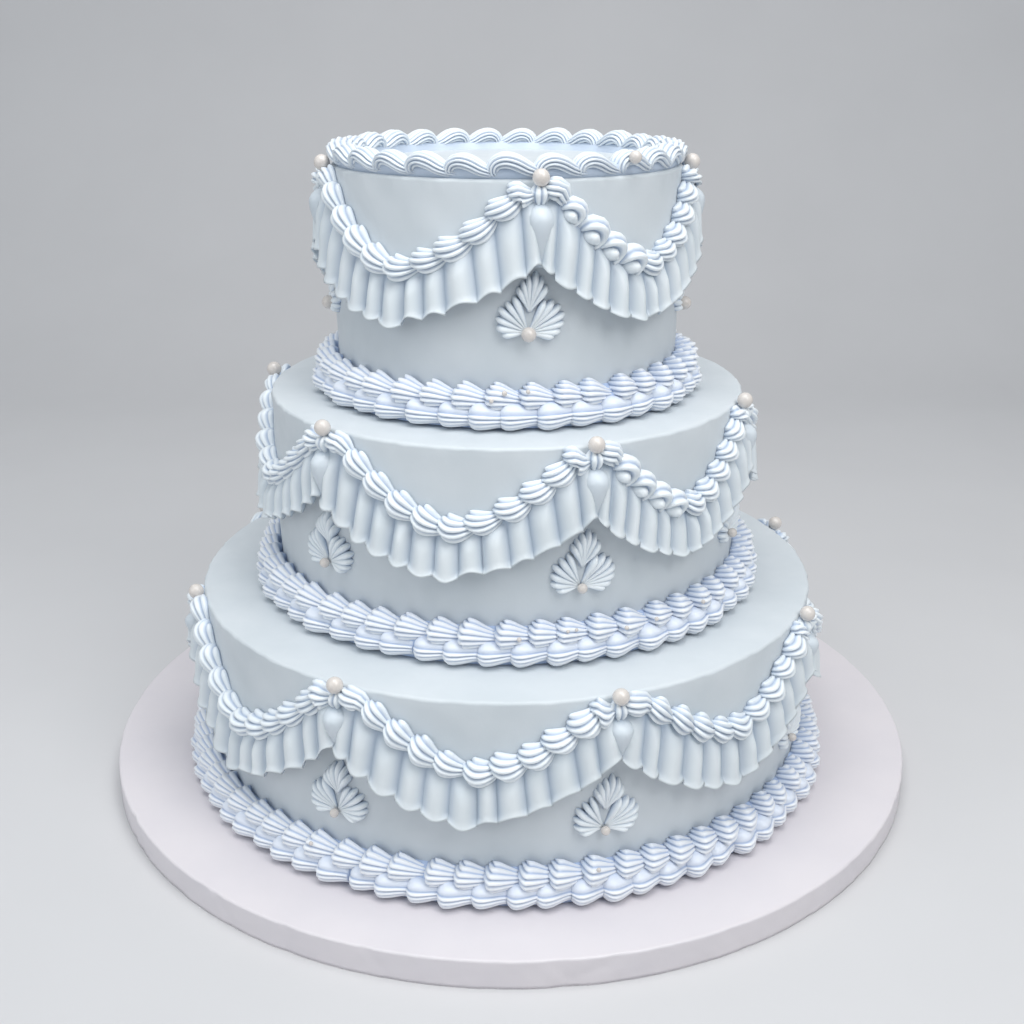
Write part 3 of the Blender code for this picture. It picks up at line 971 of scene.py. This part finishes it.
def icing(name, look):
    """Icing whose colour is mottled and turns cooler and darker with painted shade in its creases and
    hollows.
    """
    material, nodes, links, shader = start_material(name)
    colour = mottled(nodes, links, noise_node(nodes, links, MOTTLE_SCALE), (look.light, look.mottle))
    # The painted shade from the mesh mixes in the colour of shade.
    groove = nodes.new("ShaderNodeAttribute")
    groove.attribute_name = "groove"
    colour = mixed(nodes, links, groove.outputs["Fac"], colour, look.crease)
    links.new(colour, shader.inputs["Base Color"])
    streak = noise_node(nodes, links, STREAK_SCALE)
    gloss = spread(nodes, links, streak, *(look.roughness + change for change in STREAK_GLOSS))
    links.new(gloss, shader.inputs["Roughness"])
    shader.inputs["Subsurface Weight"].default_value = ICING_DEPTH[0]
    shader.inputs["Subsurface Radius"].default_value = (1.0, 1.0, 1.0)
    shader.inputs["Subsurface Scale"].default_value = ICING_DEPTH[1]
    fine = noise_node(nodes, links, GRAIN_SCALE)
    bumped(nodes, links, shader, ((streak, look.grain * STREAK_HEIGHT), (fine, look.grain)))
    return material


def pearl_sugar():
    """The pearly gloss of the sugar pearls."""
    material, nodes, links, shader = start_material("pearl sugar")
    cloud = noise_node(nodes, links, PEARL_CLOUDS)
    links.new(mottled(nodes, links, cloud, PEARL_COLOURS), shader.inputs["Base Color"])
    links.new(spread(nodes, links, cloud, *PEARL_ROUGHNESS), shader.inputs["Roughness"])
    shader.inputs["Coat Weight"].default_value = PEARL_COAT[0]
    shader.inputs["Coat Roughness"].default_value = PEARL_COAT[1]
    scale, height = PEARL_GRAIN
    bumped(nodes, links, shader, ((noise_node(nodes, links, scale), height),))
    return material


def board_foil():
    """Satin foil with a fine grain and shallow dents."""
    material, nodes, links, shader = start_material("board foil")
    cloud = noise_node(nodes, links, FOIL_CLOUDS)
    links.new(mottled(nodes, links, cloud, FOIL_COLOURS), shader.inputs["Base Color"])
    grain = noise_node(nodes, links, FOIL_GRAIN[0])
    links.new(spread(nodes, links, grain, *FOIL_ROUGHNESS), shader.inputs["Roughness"])
    dents = noise_node(nodes, links, FOIL_DENTS[0])
    bumped(nodes, links, shader, ((grain, FOIL_GRAIN[1]), (dents, FOIL_DENTS[1])))
    return material


def floor_paper():
    """The plain pale paper of the floor and the backdrop."""
    material, nodes, links, shader = start_material("pale floor")
    cloud = noise_node(nodes, links, FLOOR_CLOUDS)
    links.new(mottled(nodes, links, cloud, FLOOR_COLOURS), shader.inputs["Base Color"])
    shader.inputs["Roughness"].default_value = FLOOR_ROUGHNESS
    return material


def make_floor():
    """A plain pale floor that curves up into a plain backdrop."""
    profile = [(FLOOR_FRONT, 0.0), (FLOOR_BACK, 0.0)]
    for angle in np.linspace(0.0, math.pi / 2, BEND_STEPS)[1:]:
        rise = FLOOR_BEND - FLOOR_BEND * math.cos(angle)
        profile.append((FLOOR_BACK + FLOOR_BEND * math.sin(angle), rise))
    profile.append((FLOOR_BACK + FLOOR_BEND, BACKDROP_TOP))
    sides = (-FLOOR_HALF_WIDTH, FLOOR_HALF_WIDTH)
    points = [(x, y, z - FLOOR_GAP) for y, z in profile for x in sides]
    mesh = bpy.data.meshes.new("floor")
    faces = [(2 * i, 2 * i + 1, 2 * i + 3, 2 * i + 2) for i in range(len(profile) - 1)]
    mesh.from_pydata(points, [], faces)
    mesh.shade_smooth()
    mesh.materials.append(floor_paper())
    floor = bpy.data.objects.new("floor", mesh)
    bpy.context.scene.collection.objects.link(floor)


def area_light(name, place, side, power, colour):
    """A square light that aims at the cake."""
    data = bpy.data.lights.new(name, "AREA")
    data.size = side
    data.energy = power
    data.color = colour
    light = bpy.data.objects.new(name, data)
    light.location = place
    towards = Vector(LIGHT_AIM) - Vector(place)
    light.rotation_euler = towards.to_track_quat("-Z", "Y").to_euler()
    bpy.context.scene.collection.objects.link(light)


def make_lights():
    """Plain soft studio light, mostly from above, and stronger from the right than the left."""
    for name, values in LIGHTS.items():
        area_light(name, *values)
    world = bpy.data.worlds.new("studio")
    world.use_nodes = True
    background = world.node_tree.nodes["Background"]
    background.inputs["Color"].default_value = STUDIO_COLOUR
    background.inputs["Strength"].default_value = STUDIO_STRENGTH
    bpy.context.scene.world = world


def make_camera():
    """The photograph's camera, and the plain view transform."""
    data = bpy.data.cameras.new("camera")
    data.sensor_width = CAMERA_SENSOR
    data.lens = CAMERA_LENS
    data.clip_start = CAMERA_CLIP
    camera = bpy.data.objects.new("camera", data)
    turn = Matrix.Rotation(CAMERA_PITCH, 4, "X") @ Matrix.Rotation(CAMERA_ROLL, 4, "Z")
    camera.matrix_world = Matrix.Translation(CAMERA_PLACE) @ turn
    bpy.context.scene.collection.objects.link(camera)
    bpy.context.scene.camera = camera
    bpy.context.scene.view_settings.view_transform = "Standard"


def main():
    """Dresses the cake and sets it on its floor, in its light and before its camera."""
    smooth = icing("smooth icing", SMOOTH)
    piped = icing("piped icing", PIPED)
    border = icing("border icing", BORDER)
    frill = icing("frill icing", FRILL)
    pearl = pearl_sugar()
    for tier in TIERS:
        make_wall(tier, smooth)
        make_border(tier, border, pearl)
        make_garland(tier, piped)
        make_frill(tier, frill)
        make_pearls(tier, pearl)
        make_ornaments(tier, piped, pearl)
    make_rope(piped, pearl)
    make_board(board_foil())
    make_floor()
    make_lights()
    make_camera()


main()
